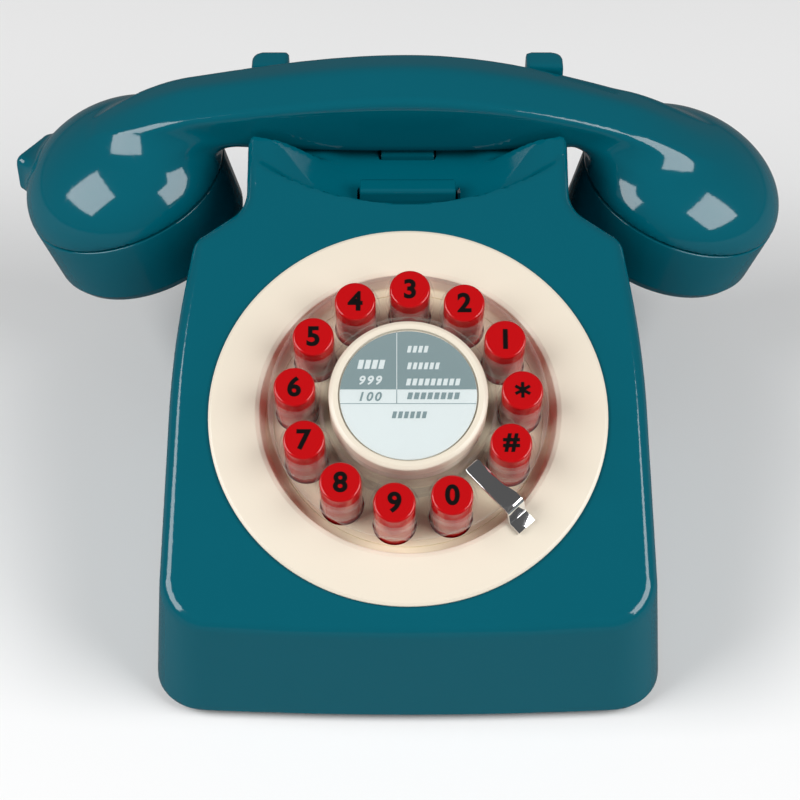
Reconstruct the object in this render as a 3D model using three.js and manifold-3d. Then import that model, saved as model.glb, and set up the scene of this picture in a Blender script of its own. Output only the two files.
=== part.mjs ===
// Desk telephone with a sloping face, a ring of push keys and a handset across the back.
// Millimetres, +Z up. +X is the user's right and +Y points to the back of the phone.
import * as THREE from 'three';
import { mergeVertices } from 'three/addons/utils/BufferGeometryUtils.js';
import Module from 'manifold-3d';

const wasm = await Module();
wasm.setup();

// ---------- driving dimensions ----------
const GAP = 0.3;                    // clearance between neighbouring pieces
const WALL = 2.5;                   // moulded wall thickness
const SLOPE = THREE.MathUtils.degToRad(24);
const DIAL_CENTRE = new THREE.Vector3(0, 0, 65.6);
const FACE_BELOW_RING = 0.96;       // the face plane lies this far under the dial ring's edge
const CASE_BOTTOM = 2.4;
const REAR_EDGE = 115.5;
const FACE_EDGE_RADIUS = 4;
const SIDE_DRAFT = 0.093;           // share of width gained over CASE_DEPTH below the face
const CASE_DEPTH = 69;
const BELOW_BASE = 10;              // the block runs this far under the floor before it is trimmed
const PRONG_TOP = 106;

const RING_RADIUS = 56.5;
const WHEEL_RADIUS = 39.3;
const KEY_CIRCLE = 31.6;
const KEY_RADIUS = 5.75;
const KEY_TOP = 14.5;
const KEY_NAMES = ['hash', 'star', '1', '2', '3', '4', '5', '6', '7', '8', '9', '0'];
const FIRST_KEY_ANGLE = THREE.MathUtils.degToRad(-26.9);
const KEY_PITCH = THREE.MathUtils.degToRad(29);
const FINGER_STOP_ANGLE = THREE.MathUtils.degToRad(-47.3);
const WELL_FLOOR = -5.2;
const STOP_SCREW_RADIUS = 46.2;
const STUD_ANGLES = [43.7, 133.7, 246.7].map(THREE.MathUtils.degToRad);
const CENTRE_STUD_CIRCLE = 25.4;
const BOARD_TOP = -13.4;
const BOARD_BOTTOM = -15;
const POST_CIRCLE = 22;
const POST_ANGLES = [90, 210, 330].map(THREE.MathUtils.degToRad);

const HANDLE_Y = 95;
const HANDLE_WIDTH = 25;
const HANDLE_TOP = 115;
const HANDLE_BOTTOM = 90;
const CUP_RADIUS = 32.2;
const CUP_TILT = THREE.MathUtils.degToRad(17.2);
const CAP_HOLE_RADIUS = 1.5;
const CAP_HOLE_CIRCLE = 8;
const MOUTH_CUP = { x: -87.7, z: 71.7, side: -1, dome: 22.5, depth: 23 };
const EAR_CUP = { x: 85.4, z: 70.2, side: 1, dome: 19, depth: 20.6 };
const CORD_BOSS = { x: -107.7, y: 100.3, z: 69.5, turn: THREE.MathUtils.degToRad(145) };

const TROUGH_FLOOR = 88;
const HORN_X = 43.5;
const PRONG_INNER = 36.4;
const CRADLE_FRONT = 82.2;
const CRADLE_REAR = 107.8;
const CRADLE_BED = 90.2;
const RECESS_ARC_RADIUS = 96.6;
const RECESS_FRONT_Y = 60.3;
const BAR = { half: 14.5, front: 65.4, rear: 71.5, top: 92 };
const PAD = { half: 8, front: 86, rear: 94, top: HANDLE_BOTTOM - GAP };
const SLOT_CLEARANCE = 0.4;

const BOSS_PLACES = [[-60, -12], [60, -12], [-38, 86], [38, 86]];
const FOOT_PLACES = [[-57, -43], [57, -43], [-38, 106], [38, 106]];
const PLATE_BOTTOM = 2.6;
const PLATE_THICKNESS = 2.4;
const FLOOR = PLATE_BOTTOM + PLATE_THICKNESS + GAP;
const HEAD_RECESS = 1;
const HEAD_HEIGHT = 1.6;
const SOCKET_X = 34;
const SOCKET_Z = 17.5;
const KNOB_X = 11;
const KNOB_Z = 17;
const REAR_DRAFT = 0.07;
const FRONT_DRAFT = 0.045;
const GONG_PLACES = [[-23, 16], [23, 16]];

// ---------- solids ----------
function solidOf(geometry) {
  const bare = geometry.clone();
  bare.deleteAttribute('normal');
  bare.deleteAttribute('uv');
  const merged = mergeVertices(bare, 1e-4);
  const corners = merged.index.array;
  const kept = [];
  for (let at = 0; at < corners.length; at += 3) {
    const [a, b, c] = corners.slice(at, at + 3);
    if (a !== b && b !== c && c !== a) {
      kept.push(a, b, c);
    }
  }
  return new wasm.Manifold(new wasm.Mesh({
    numProp: 3,
    vertProperties: new Float32Array(merged.attributes.position.array),
    triVerts: new Uint32Array(kept),
  }));
}

function geometryOf(solid) {
  const mesh = solid.getMesh();
  const geometry = new THREE.BufferGeometry();
  geometry.setAttribute('position', new THREE.BufferAttribute(mesh.vertProperties, 3));
  geometry.setIndex(new THREE.BufferAttribute(mesh.triVerts, 1));
  geometry.computeVertexNormals();
  return geometry;
}

function join(first, ...others) {
  return others.reduce((solid, other) => solid.add(other), first);
}

function cut(first, ...others) {
  return others.reduce((solid, other) => solid.subtract(other), first);
}

function box(x0, x1, y0, y1, z0, z1) {
  const geometry = new THREE.BoxGeometry(x1 - x0, y1 - y0, z1 - z0);
  geometry.translate((x0 + x1) / 2, (y0 + y1) / 2, (z0 + z1) / 2);
  return solidOf(geometry);
}

function rod(radius, z0, z1, x = 0, y = 0, segments = 20) {
  const geometry = new THREE.CylinderGeometry(radius, radius, z1 - z0, segments);
  geometry.rotateX(Math.PI / 2);
  geometry.translate(x, y, (z0 + z1) / 2);
  return solidOf(geometry);
}

// A closed profile of [radius, height] pairs, counter-clockwise, turned about Z.
function turned(profile, segments = 32) {
  const points = profile.map(([radius, height]) => new THREE.Vector2(radius, height));
  if (points[0].x > 0 || points[points.length - 1].x > 0) {
    points.push(points[0].clone());
  }
  const geometry = new THREE.LatheGeometry(points, segments);
  geometry.rotateX(Math.PI / 2);
  return geometry;
}

// A polygon of [x, y, radius] corners with true arcs at the corners.
function roundedShape(corners) {
  const shape = new THREE.Shape();
  corners.forEach(([x, y, radius], index) => {
    const here = new THREE.Vector2(x, y);
    const before = new THREE.Vector2(...corners[(index + corners.length - 1) % corners.length]);
    const after = new THREE.Vector2(...corners[(index + 1) % corners.length]);
    const inward = before.sub(here).normalize();
    const outward = after.sub(here).normalize();
    const turn = Math.PI - Math.acos(THREE.MathUtils.clamp(inward.dot(outward), -1, 1));
    const reach = radius * Math.tan(turn / 2);
    const start = here.clone().addScaledVector(inward, reach);
    const end = here.clone().addScaledVector(outward, reach);
    const clockwise = inward.cross(outward) > 0;
    const side = clockwise ? 1 : -1;
    const centre = start.clone().add(new THREE.Vector2(inward.y, -inward.x).multiplyScalar(-side * radius));
    const from = Math.atan2(start.y - centre.y, start.x - centre.x);
    const to = Math.atan2(end.y - centre.y, end.x - centre.x);
    shape.absarc(centre.x, centre.y, radius, from, to, clockwise);
  });
  shape.closePath();
  return shape;
}

function extruded(shape, depth, options = {}) {
  return new THREE.ExtrudeGeometry(shape, { depth, bevelEnabled: false, curveSegments: 3, ...options });
}

// Shape drawn in (y, z), pulled along +X from x0 to x1.
function alongX(shape, x0, x1, options) {
  const geometry = extruded(shape, x1 - x0, options);
  geometry.applyMatrix4(new THREE.Matrix4().makeBasis(
    new THREE.Vector3(0, 1, 0), new THREE.Vector3(0, 0, 1), new THREE.Vector3(1, 0, 0)));
  geometry.translate(x0, 0, 0);
  return geometry;
}

// Shape drawn in (x, z), pulled along Y from y0 to y1.
function alongY(shape, y0, y1, options) {
  const geometry = extruded(shape, y1 - y0, options);
  geometry.applyMatrix4(new THREE.Matrix4().makeBasis(
    new THREE.Vector3(1, 0, 0), new THREE.Vector3(0, 0, 1), new THREE.Vector3(0, -1, 0)));
  geometry.translate(0, y1, 0);
  return geometry;
}

function warp(geometry, move) {
  const positions = geometry.attributes.position;
  const point = new THREE.Vector3();
  for (let index = 0; index < positions.count; index += 1) {
    point.fromBufferAttribute(positions, index);
    move(point);
    positions.setXYZ(index, point.x, point.y, point.z);
  }
  return geometry;
}

// ---------- materials ----------
function material(colour, roughness, metalness = 0, opacity = 1) {
  return new THREE.MeshStandardMaterial({
    color: colour, roughness, metalness, opacity, transparent: opacity < 1,
  });
}
const TEAL = material(0x00596b, 0.18);
const CREAM = material(0xf6ead0, 0.3);
const KEY_RED = material(0xc40d0d, 0.25);
const CLEAR = material(0xe8ece8, 0.05, 0, 0.35);
const CHROME = material(0xd8d8d8, 0.12, 1);
const STEEL = material(0xb0b3b5, 0.35, 1);
const DARK_PLASTIC = material(0x1c1f20, 0.55);
const RUBBER = material(0x202020, 0.85);
const BOARD_GREEN = material(0x1f5a36, 0.5);
const BRASS = material(0xc8a24a, 0.3, 1);
const COPPER = material(0xb06a3a, 0.4, 0.8);
const LABEL_PAPER = material(0xd8dcd8, 0.7);
const IRON = material(0x4a4c4e, 0.6, 0.9);

const phone = new THREE.Group();
const model = new THREE.Group();
phone.add(model);

function addPart(name, shape, surface, parent = model) {
  const geometry = geometryOf(shape.isBufferGeometry ? solidOf(shape) : shape);
  const mesh = new THREE.Mesh(geometry, surface);
  mesh.name = name;
  parent.add(mesh);
  return mesh;
}

// ---------- case ----------
const faceHeight = (y) => DIAL_CENTRE.z - FACE_BELOW_RING / Math.cos(SLOPE) + Math.tan(SLOPE) * y;

// Plan outline at the face: wide body, rounded shoulders, narrow neck.
function planOutline() {
  const half = [
    [68.6, -55.6, 13], [67.4, 22, 250], [62.5, 52.2, 6], [48, 62, 9], [47.6, REAR_EDGE, 5],
  ];
  const mirrored = half.map(([x, y, radius]) => [-x, y, radius]).reverse();
  return roundedShape([[0, -57.5, 900], ...half, ...mirrored]);
}

// The outline pulled up to the sloping face, with draft on the body and a rounded top edge.
function caseBlock(inset, edgeRadius) {
  const geometry = new THREE.ExtrudeGeometry(planOutline(), {
    depth: 1, curveSegments: 2, bevelEnabled: true, bevelSegments: inset ? 1 : 2,
    bevelSize: edgeRadius, bevelThickness: edgeRadius, bevelOffset: -inset - edgeRadius,
  });
  return solidOf(warp(geometry, (point) => {
    const face = faceHeight(point.y);
    const upper = point.z > 0.5;
    const height = upper ? face - (1 + edgeRadius - point.z + inset) : point.z - BELOW_BASE;
    const drop = face - height;
    const wide = THREE.MathUtils.smoothstep(66 - point.y, 0, 12);
    const back = THREE.MathUtils.clamp((point.y - 85) / 30, 0, 1);
    const front = THREE.MathUtils.clamp((-30 - point.y) / 27, 0, 1);
    point.x *= 1 + SIDE_DRAFT * wide * drop / CASE_DEPTH;
    point.y += drop * (REAR_DRAFT * back - FRONT_DRAFT * front);
    point.z = height;
  }));
}

// Saddle between the horns: flat in the middle and rising to each side.
function saddleShape() {
  const shape = new THREE.Shape();
  shape.moveTo(HORN_X + 0.5, 99.5);
  shape.quadraticCurveTo(36, TROUGH_FLOOR, 20, TROUGH_FLOOR);
  shape.lineTo(-20, TROUGH_FLOOR);
  shape.quadraticCurveTo(-36, TROUGH_FLOOR, -HORN_X - 0.5, 99.5);
  shape.lineTo(-HORN_X - 0.5, 130);
  shape.lineTo(HORN_X + 0.5, 130);
  shape.closePath();
  return shape;
}

function recessPlan(margin) {
  const radius = RECESS_ARC_RADIUS + margin;
  const reach = HORN_X + 0.5 + margin;
  const centreY = RECESS_FRONT_Y + RECESS_ARC_RADIUS;
  const half = Math.asin(reach / radius);
  const shape = new THREE.Shape();
  shape.absarc(0, centreY, radius, -Math.PI / 2 - half, -Math.PI / 2 + half, false);
  shape.lineTo(reach, CRADLE_REAR + margin);
  shape.lineTo(-reach, CRADLE_REAR + margin);
  shape.closePath();
  return shape;
}

function recessCutter() {
  const plan = extruded(recessPlan(0), 60, { curveSegments: 8 });
  plan.translate(0, 0, TROUGH_FLOOR - 5);
  const saddle = alongY(saddleShape(), 40, 130, { curveSegments: 5 });
  return solidOf(plan).intersect(solidOf(saddle));
}

function cradleCutter() {
  const bed = box(-60, 60, CRADLE_FRONT, CRADLE_REAR, CRADLE_BED, 140);
  const between = box(-PRONG_INNER, PRONG_INNER, CRADLE_REAR - 1, 150, 92, 140);
  const above = box(-80, 80, 60, 150, PRONG_TOP, 160);
  return join(bed, between, above);
}

function handHold() {
  const shape = roundedShape([[-31, 66, 8], [31, 66, 8], [31, 86, 8], [-31, 86, 8]]);
  return solidOf(alongY(shape, 100, 150));
}

function innerVoid() {
  const profile = new THREE.Shape();
  [[-80, -6], [150, -6], [150, 63], [97.5, 63], [97.5, 85.3], [57, 85.3], [57, 130], [-80, 130]]
    .forEach(([y, z], index) => (index ? profile.lineTo(y, z) : profile.moveTo(y, z)));
  return caseBlock(WALL, 1.5).intersect(solidOf(alongX(profile, -90, 90)));
}

function rearWall(z) {
  return REAR_EDGE + REAR_DRAFT * (faceHeight(REAR_EDGE) - z);
}

function shellCase() {
  const outer = caseBlock(0, FACE_EDGE_RADIUS).intersect(box(-100, 100, -80, 160, CASE_BOTTOM, 140));
  const bosses = BOSS_PLACES.map(([x, y]) => rod(4, FLOOR, 95, x, y, 10).intersect(caseBlock(1, 1.5)));
  const pilots = BOSS_PLACES.map(([x, y]) => rod(1.8, 0, 18, x, y, 8));
  const turnedHole = solidOf(dialSpace(geometryOf(rod(46, -12, 20, 0, 0, 40))));
  const shell = cut(outer, recessCutter(), cradleCutter(), handHold());
  const hollow = innerVoid();
  const room = join(...bosses).intersect(cut(shell, box(-35, 35, 95, 160, 60, 140)));
  return cut(join(cut(shell, hollow), room), ...pilots, turnedHole, slotFor(BAR), slotFor(PAD),
    socketHole(-SOCKET_X), socketHole(SOCKET_X), knobSlot(-KNOB_X), knobSlot(KNOB_X));
}

// Moves a geometry drawn around the Z axis onto the sloping dial.
function dialSpace(geometry) {
  geometry.rotateX(SLOPE);
  geometry.translate(DIAL_CENTRE.x, DIAL_CENTRE.y, DIAL_CENTRE.z);
  return geometry;
}

function slotFor({ half, front, rear }) {
  const side = half + SLOT_CLEARANCE;
  return box(-side, side, front - SLOT_CLEARANCE, rear + SLOT_CLEARANCE, 80, 100);
}

function socketHole(x) {
  return box(x - 7, x + 7, 110, 140, SOCKET_Z - 6.5, SOCKET_Z + 6.5);
}

function knobSlot(x) {
  return box(x - 6, x + 6, 110, 140, KNOB_Z - 3, KNOB_Z + 3);
}

// ---------- base ----------
function basePlate() {
  const slab = caseBlock(WALL + GAP, 1.5)
    .intersect(box(-100, 100, -80, 160, PLATE_BOTTOM, PLATE_BOTTOM + PLATE_THICKNESS));
  const screwHoles = BOSS_PLACES.map(([x, y]) => rod(1.9, 0, 8, x, y, 8));
  const headHoles = BOSS_PLACES.map(([x, y]) => rod(3.6, 0, PLATE_BOTTOM + HEAD_RECESS, x, y, 10));
  const footHoles = FOOT_PLACES.map(([x, y]) => rod(2.8, 0, 8, x, y, 8));
  const louvres = [-24, -12, 0, 12, 24].map((x) => box(x - 1.5, x + 1.5, -30, -2, 0, 8));
  return cut(slab, ...screwHoles, ...headHoles, ...footHoles, ...louvres);
}

function foot() {
  const shoulder = PLATE_BOTTOM - GAP;
  return turned([[0, 0], [6.4, 0], [7, 0.6], [7, shoulder], [2.5, shoulder], [2.5, 5.6], [0, 5.6]], 14);
}

function screw(headRadius, shaftRadius, headHeight, length) {
  return turned([[0, 0], [headRadius, 0], [headRadius, headHeight], [shaftRadius, headHeight],
    [shaftRadius, length], [0, length]], 10);
}

// ---------- dial ----------
const keyAngle = (index) => FIRST_KEY_ANGLE + index * KEY_PITCH;

function around(radius, angle) {
  return [radius * Math.cos(angle), radius * Math.sin(angle)];
}

const keyPlaces = () => KEY_NAMES.map((name, index) => around(KEY_CIRCLE, keyAngle(index)));
const postPlaces = () => POST_ANGLES.map((angle) => around(POST_CIRCLE, angle));

function dialBezel() {
  const pan = turned([
    [9, WELL_FLOOR - 2], [43, WELL_FLOOR - 2], [43, -0.66], [RING_RADIUS, -0.66], [RING_RADIUS, -0.2],
    [RING_RADIUS - 0.8, 0.2], [43.2, 1.6], [41.6, 1.2], [40.6, WELL_FLOOR], [9, WELL_FLOOR],
  ], 32);
  const holes = keyPlaces().map((place) => rod(KEY_RADIUS + 0.5, -9, 0, ...place, 10));
  const posts = postPlaces().map((place) => rod(2.6, BOARD_TOP + GAP, WELL_FLOOR - 1, ...place, 12));
  const pilots = postPlaces().map((place) => rod(1.2, BOARD_TOP - 1, WELL_FLOOR - 2.5, ...place, 10));
  const stopHole = rod(1.4, -9, 4, ...around(STOP_SCREW_RADIUS, FINGER_STOP_ANGLE), 12);
  return cut(join(solidOf(pan), ...posts), ...holes, ...pilots, stopHole);
}

function dialWheel() {
  const plate = turned([
    [WHEEL_RADIUS, 3.9], [WHEEL_RADIUS, 7.7], [25, 7.7], [24.4, 11.5], [22.7, 11.5],
    [22.7, WELL_FLOOR + GAP], [24, WELL_FLOOR + GAP], [24, 3.9],
  ], 30);
  const collars = keyPlaces().map((place) => rod(7, 1, 10.8, ...place, 12));
  const bores = keyPlaces().map((place) => rod(6.2, 0, 12, ...place, 12));
  const studs = STUD_ANGLES.map((angle) => rod(2.2, 6, 9.4, ...around(CENTRE_STUD_CIRCLE, angle), 8));
  return cut(join(solidOf(plate), ...collars, ...studs), ...bores);
}

// Round cap on a shaft, with a flange that stops it under the dial's floor.
function key() {
  const flange = KEY_RADIUS + 1.1;
  const flangeTop = WELL_FLOOR - 2 - GAP;
  return turned([
    [0, -9.6], [flange, -9.6], [flange, flangeTop], [KEY_RADIUS, flangeTop],
    [KEY_RADIUS, KEY_TOP - 0.6], [KEY_RADIUS - 0.5, KEY_TOP], [0, KEY_TOP],
  ], 12);
}

function fingerStop() {
  const arm = new THREE.Shape();
  arm.moveTo(25.5, 8.2);
  arm.lineTo(43.2, 8.2);
  arm.lineTo(44, 2.2);
  arm.lineTo(49.4, 1.6);
  arm.lineTo(49.4, 2.6);
  arm.lineTo(45, 3.2);
  arm.lineTo(44.2, 9.4);
  arm.lineTo(25.5, 9.4);
  arm.closePath();
  const blade = alongY(arm, -3.4, 3.4);
  warp(blade, (point) => {
    point.y *= point.x < 40 ? 0.72 : 1;
  });
  const peg = rod(1.1, -0.5, 2.4, STOP_SCREW_RADIUS, 0, 10);
  const stop = geometryOf(join(solidOf(blade), peg));
  stop.rotateZ(FINGER_STOP_ANGLE);
  return stop;
}

function redialCap() {
  return turned([
    [0, -2.6], [8.6, -2.6], [8.6, 6], [22.1, 6], [22.1, 13.6],
    [21.2, 14.3], [19.6, 14.1], [19.4, 13], [0, 13],
  ], 32);
}

function addDial() {
  const dial = new THREE.Group();
  dial.position.copy(DIAL_CENTRE);
  dial.rotation.x = SLOPE;
  model.add(dial);
  addPart('dial_bezel', dialBezel(), CREAM, dial);
  addPart('dial_wheel', dialWheel(), CLEAR, dial);
  addPart('finger_stop', fingerStop(), CHROME, dial);
  keyPlaces().forEach(([x, y], index) => {
    addPart(`key_${KEY_NAMES[index]}`, key(), KEY_RED, dial).position.set(x, y, 0);
  });
  addPart('redial_cap', redialCap(), CREAM, dial);
  addPart('redial_label', turned([[0, 13.3], [19, 13.3], [19, 13.6], [0, 13.6]], 24), LABEL_PAPER, dial);
  addPart('redial_lens', turned([[0, 13.9], [19.1, 13.9], [18.9, 14.7], [0, 15.2]], 24), CLEAR, dial);
  const mat = turned([[26, -12.9], [39, -12.9], [39, -12], [26, -12]], 24);
  addPart('keypad_mat', mat, RUBBER, dial);
  const disc = turned([[0, BOARD_BOTTOM], [40, BOARD_BOTTOM], [40, BOARD_TOP], [0, BOARD_TOP]], 24);
  const boardHoles = postPlaces().map((place) => rod(1.4, BOARD_BOTTOM - 1, BOARD_TOP + 1, ...place, 10));
  addPart('keypad_board', cut(solidOf(disc), ...boardHoles), BOARD_GREEN, dial);
  postPlaces().forEach(([x, y], index) => {
    const headHeight = 1.4;
    const mesh = addPart(`board_screw_${index + 1}`, screw(2.3, 0.95, headHeight, 8), STEEL, dial);
    mesh.position.set(x, y, BOARD_BOTTOM - GAP - headHeight);
  });
}

// ---------- handset ----------
function handleTop(x) {
  return HANDLE_TOP - 20 * (Math.hypot(1, x / 52) - 1) - 0.00045 * x * Math.abs(x);
}
const handleBottom = (x) => Math.min(HANDLE_BOTTOM + 0.0006 * x * x, handleTop(x) - 15);

// Crowned section pulled along the handle and bent to its arch.
function handle(inset, reach) {
  const half = HANDLE_WIDTH / 2;
  const section = roundedShape([
    [-half + 2, -0.5, 5], [half - 2, -0.5, 5], [half, 0.42, 4], [0, 0.55, 34], [-half, 0.42, 4],
  ].map(([y, z, radius]) => [y, z * 25, radius]));
  const geometry = alongX(section, -reach, reach, {
    steps: 9, curveSegments: 2, bevelEnabled: true, bevelSegments: inset ? 1 : 2,
    bevelSize: inset ? 0.5 : 3, bevelThickness: inset ? 0.5 : 7, bevelOffset: inset ? -inset - 0.5 : -3,
  });
  return warp(geometry, (point) => {
    const top = handleTop(point.x);
    const bottom = handleBottom(point.x);
    const middle = (top + bottom) / 2;
    point.z = middle + (point.z - 0.6) * (top - bottom) / 26;
    point.y += HANDLE_Y;
  });
}

// Local frame of a cup: origin on the seam, +Z down out of the cap, +X to the outside.
function cupFrame(cup) {
  const down = new THREE.Vector3(-cup.side * Math.sin(CUP_TILT), 0, -Math.cos(CUP_TILT));
  const across = new THREE.Vector3(0, 1, 0);
  const outward = across.clone().cross(down);
  const frame = new THREE.Matrix4().makeBasis(outward, across, down);
  return frame.setPosition(cup.x, HANDLE_Y, cup.z);
}

function inCup(cup, geometry) {
  return geometry.applyMatrix4(cupFrame(cup));
}

function dome(cup, radius, height, below) {
  const ball = new THREE.SphereGeometry(radius, 24, 8);
  ball.scale(1, 1, height / radius);
  const half = solidOf(ball).intersect(box(-60, 60, -60, 60, -60, 0.01));
  const skirt = rod(radius, -0.5, below, 0, 0, 24);
  return solidOf(inCup(cup, geometryOf(below > 0 ? join(half, skirt) : half)));
}

function placedOnBoss(geometry) {
  geometry.rotateZ(CORD_BOSS.turn);
  geometry.translate(CORD_BOSS.x, CORD_BOSS.y, CORD_BOSS.z);
  return geometry;
}

function cordBoss() {
  const section = roundedShape([[-8.4, -6.8, 3], [8.4, -6.8, 3], [8.4, 6.8, 3], [-8.4, 6.8, 3]]);
  return solidOf(placedOnBoss(alongX(section, -6, 13)));
}

function handsetShell() {
  const outer = join(solidOf(handle(0, 83)), dome(MOUTH_CUP, CUP_RADIUS, MOUTH_CUP.dome, 0),
    dome(EAR_CUP, CUP_RADIUS, EAR_CUP.dome, 0), cordBoss());
  const hollow = join(solidOf(handle(WALL, 76)),
    dome(MOUTH_CUP, CUP_RADIUS - WALL, MOUTH_CUP.dome - WALL, 3),
    dome(EAR_CUP, CUP_RADIUS - WALL, EAR_CUP.dome - WALL, 3));
  const belowSeams = [MOUTH_CUP, EAR_CUP].map((cup) => {
    const space = solidOf(inCup(cup, geometryOf(box(-60, 60, -60, 60, 0, 60))));
    return space.intersect(box(-130, 130, 50, 140, 20, 100));
  });
  const jackHole = solidOf(placedOnBoss(geometryOf(box(-12, 20, -6.3, 6.3, -4.7, 4.7))));
  return cut(outer, hollow, ...belowSeams, jackHole);
}

// Screw-on cap with one hole in the middle and six round it.
function cap(cup) {
  const { depth } = cup;
  const outer = CUP_RADIUS;
  const profile = turned([
    [outer - WALL, 0.4], [outer, 0.4], [outer - 0.9, depth - 3.2], [outer - 1.8, depth - 1],
    [outer - 4, depth], [0, depth], [0, depth - WALL], [outer - 5, depth - WALL],
    [outer - WALL - 0.9, depth - 4],
  ], 24);
  const places = [[0, 0], ...[0, 1, 2, 3, 4, 5].map((step) => around(CAP_HOLE_CIRCLE, step * Math.PI / 3))];
  const holes = places.map((place) => rod(CAP_HOLE_RADIUS, depth - 6, depth + 2, ...place, 6));
  return inCup(cup, geometryOf(cut(solidOf(profile), ...holes)));
}

function capsule(cup) {
  return inCup(cup, turned([[0, -2], [15, -2], [22, 2], [22, 9], [0, 9]], 20));
}

function jack() {
  const body = box(3, 12.4, -6, 6, -4.4, 4.4);
  const mouth = box(6, 14, -4.9, 4.9, -2.8, 2.8);
  return cut(body, mouth);
}

function addHandset() {
  addPart('handset_shell', handsetShell(), TEAL);
  addPart('mouthpiece_cap', cap(MOUTH_CUP), TEAL);
  addPart('earpiece_cap', cap(EAR_CUP), TEAL);
  addPart('microphone_capsule', capsule(MOUTH_CUP), STEEL);
  addPart('receiver_capsule', capsule(EAR_CUP), DARK_PLASTIC);
  addPart('handset_socket', placedOnBoss(geometryOf(jack())), DARK_PLASTIC);
}

// ---------- switch hook, ringer and board ----------
function hookPlunger() {
  const carriage = box(-16, 16, BAR.front, PAD.rear, 78, 80);
  const bar = box(-BAR.half, BAR.half, BAR.front, BAR.rear, 79, BAR.top);
  const pad = box(-PAD.half, PAD.half, PAD.front, PAD.rear, 79, PAD.top);
  return join(carriage, bar, pad);
}

function gong() {
  return turned([
    [2, 0], [16.8, 0], [17.8, -2], [17.8, -9], [19, -11], [17.6, -11], [16.4, -9], [16.4, -1.4], [2, -1.4],
  ].reverse(), 14);
}

function addInside() {
  addPart('hook_plunger', hookPlunger(), TEAL);
  addPart('hook_switch', box(-7, 7, 74, 84, 62, 73.6), DARK_PLASTIC);
  addPart('switch_bracket', join(box(-9, 9, 74, 86, 59.5, 61.5), box(-9, 9, 86, 88, FLOOR, 61.5)), STEEL);
  addPart('main_board', box(-36, 36, 92, 112, FLOOR + 4, FLOOR + 5.6), BOARD_GREEN);
  addPart('ballast_weight', box(-26, 26, -44, -36, FLOOR, 21), IRON);
  addPart('ringer_frame', box(-30, 30, 34, 52, FLOOR, FLOOR + 2), STEEL);
  addPart('ringer_coil', box(-9, 9, 37, 49, FLOOR + 2 + GAP, FLOOR + 15), COPPER);
  GONG_PLACES.forEach(([x, y], index) => {
    const side = index ? 'right' : 'left';
    const post = turned([[0, 0], [3.5, 0], [3.5, 14.6], [1.7, 14.6], [1.7, 19], [0, 19]], 12);
    addPart(`gong_post_${side}`, post, STEEL).position.set(x, y, FLOOR);
    addPart(`gong_${side}`, gong(), BRASS).position.set(x, y, FLOOR + 16.4);
  });
  const clapper = join(rod(1, 0, 12, 0, 0, 10), box(-1, 1, -18, 1, 10, 12), rod(2.2, 8.6, 13.4, 0, -18, 14));
  addPart('clapper', clapper, BRASS).position.set(0, 31.5, FLOOR + 0.6);
}

function wallJack() {
  const body = box(-6.6, 6.6, -14, 1.2, -6.1, 6.1);
  const mouth = box(-4.6, 4.6, -9, 3, -4, 3.4);
  return cut(body, mouth);
}

function knob() {
  const stem = box(-2, 2, -8, 2.8, -2.5, 2.5);
  const ribs = [-1.2, 0, 1.2].map((x) => box(x - 0.25, x + 0.25, 2.4, 4, -2.5, 2.5));
  return cut(stem, ...ribs);
}

function addRear() {
  [['cord_socket', -SOCKET_X], ['line_socket', SOCKET_X]].forEach(([name, x]) => {
    addPart(name, wallJack(), DARK_PLASTIC).position.set(x, rearWall(SOCKET_Z), SOCKET_Z);
  });
  [['volume_knob', -KNOB_X], ['tone_knob', KNOB_X]].forEach(([name, x]) => {
    addPart(name, knob(), CREAM).position.set(x, rearWall(KNOB_Z), KNOB_Z);
  });
}

addPart('case', shellCase(), TEAL);
addPart('base_plate', basePlate(), DARK_PLASTIC);
FOOT_PLACES.forEach(([x, y], index) => {
  addPart(`foot_${index + 1}`, foot(), RUBBER).position.set(x, y, 0);
});
BOSS_PLACES.forEach(([x, y], index) => {
  const height = PLATE_BOTTOM + HEAD_RECESS - GAP - HEAD_HEIGHT;
  addPart(`base_screw_${index + 1}`, screw(3.2, 1.5, HEAD_HEIGHT, 13), STEEL).position.set(x, y, height);
});
addDial();
addHandset();
addInside();
addRear();

// Stand the phone with the centre of its footprint on the origin.
phone.updateMatrixWorld(true);
const bounds = new THREE.Box3().setFromObject(model, true);
const middle = bounds.getCenter(new THREE.Vector3());
model.position.set(-middle.x, -middle.y, -bounds.min.z);

export default phone;
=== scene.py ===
"""Desk telephone: moulded teal case and handset, clear dial plate, round red push keys.

Shapes are worked out in millimetres in the maker's frame, whose origin lies under the centre of
the dial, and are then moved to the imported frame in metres.
"""

import math

import bmesh
import bpy
import numpy as np
from mathutils import Matrix, Vector


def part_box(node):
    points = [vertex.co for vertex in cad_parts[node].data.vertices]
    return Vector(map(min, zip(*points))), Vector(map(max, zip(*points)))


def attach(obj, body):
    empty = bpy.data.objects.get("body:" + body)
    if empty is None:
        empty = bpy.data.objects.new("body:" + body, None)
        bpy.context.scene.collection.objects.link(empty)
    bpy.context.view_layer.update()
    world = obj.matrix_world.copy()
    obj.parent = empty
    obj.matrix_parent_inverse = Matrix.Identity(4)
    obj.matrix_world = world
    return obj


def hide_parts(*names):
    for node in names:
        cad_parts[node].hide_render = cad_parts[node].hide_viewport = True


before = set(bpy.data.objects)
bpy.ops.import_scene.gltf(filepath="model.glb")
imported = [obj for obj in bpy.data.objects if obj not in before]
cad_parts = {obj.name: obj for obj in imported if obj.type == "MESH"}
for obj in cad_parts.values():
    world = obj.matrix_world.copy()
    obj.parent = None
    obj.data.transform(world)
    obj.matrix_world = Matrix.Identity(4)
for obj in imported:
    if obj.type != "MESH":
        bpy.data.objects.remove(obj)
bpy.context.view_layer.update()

# ---------- driving dimensions, in millimetres ----------
MM = 0.001
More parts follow.
